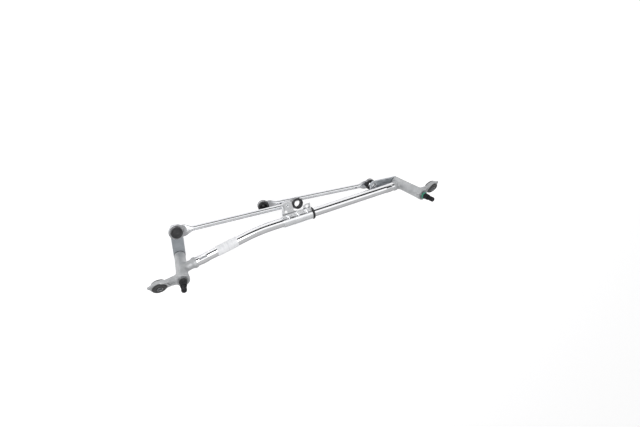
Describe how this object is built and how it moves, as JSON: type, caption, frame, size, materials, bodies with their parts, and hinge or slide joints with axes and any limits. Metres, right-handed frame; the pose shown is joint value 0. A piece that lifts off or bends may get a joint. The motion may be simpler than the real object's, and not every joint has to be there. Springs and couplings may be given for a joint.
{
  "type": "windshield wiper linkage",
  "caption": "Tandem windshield wiper linkage: bent frame tube with two cast spindle housings, crank levers, link rods with ball sockets and a motor bracket.",
  "frame": {"origin": "centre of the left body mount's sleeve", "axes": "+X towards the right spindle, +Z the side of the threaded spindle ends and square to the motor bracket's ears, +Y the side of the link rods"},
  "size_m": [0.6419, 0.0987, 0.1688],
  "materials": {
    "casting": "die cast, matt",
    "zinc_tube": "bright zinc plated",
    "zinc_rod": "bright zinc plated",
    "lever_steel": "blue zinc plated",
    "bracket_steel": "zinc plated sheet",
    "spindle_steel": "black phosphated",
    "ball_steel": "hardened, oiled",
    "small_steel": "zinc plated",
    "socket_plastic": "black moulded",
    "grommet_rubber": "black rubber",
    "green_rubber": "green rubber",
    "black_rubber": "black rubber",
    "bush_bronze": "sintered bronze",
    "label_film": "white label film",
    "band_plastic": "black moulded"
  },
  "bodies": {
    "frame": {"frame_tube": "zinc_tube", "tube_label": "label_film", "motor_bracket": "bracket_steel", "bracket_band": "band_plastic", "left_pivot_housing": "casting", "left_lower_bush": "bush_bronze", "left_upper_bush": "bush_bronze", "left_mount_grommet": "grommet_rubber", "left_mount_sleeve": "small_steel", "right_pivot_housing": "casting", "right_lower_bush": "bush_bronze", "right_upper_bush": "bush_bronze", "right_mount_grommet": "grommet_rubber", "right_mount_sleeve": "small_steel"},
    "left_crank": {"left_spindle": "spindle_steel", "left_thrust_washer": "band_plastic", "left_upper_washer": "small_steel", "left_retaining_ring": "small_steel", "left_seal_ring": "black_rubber", "left_crank_lever": "lever_steel", "left_ball_pin": "ball_steel"},
    "left_rod": {"left_link_rod": "zinc_rod", "left_crank_socket": "socket_plastic", "left_motor_socket": "socket_plastic"},
    "right_crank": {"right_spindle": "spindle_steel", "right_thrust_washer": "band_plastic", "right_upper_washer": "small_steel", "right_retaining_ring": "small_steel", "right_seal_ring": "green_rubber", "right_crank_lever": "lever_steel", "right_ball_pin": "ball_steel"},
    "right_rod": {"right_link_rod": "zinc_rod", "right_crank_socket": "socket_plastic", "right_motor_socket": "socket_plastic"}
  },
  "joints": [
    {"name": "left_crank_turn", "type": "hinge", "parent": "frame", "child": "left_crank", "pos_m": [0.047, 0.009, -0.0114], "axis": [-0.1392, 0, 0.9903], "range_deg": [-38, 57]},
    {"name": "right_crank_turn", "type": "hinge", "parent": "frame", "child": "right_crank", "pos_m": [0.557, 0.009, -0.0114], "axis": [0.1219, 0, 0.9925], "range_deg": [-120, 0]},
    {"name": "left_rod_swing", "type": "hinge", "parent": "left_crank", "child": "left_rod", "pos_m": [0.06206, 0.06915, -0.04548], "axis": [-0.1392, 0, 0.9903], "range_deg": [-55, 45]},
    {"name": "right_rod_swing", "type": "hinge", "parent": "right_crank", "child": "right_rod", "pos_m": [0.48987, 0.02262, -0.03666], "axis": [0.1219, 0, 0.9925], "range_deg": [-15, 125]}
  ]
}
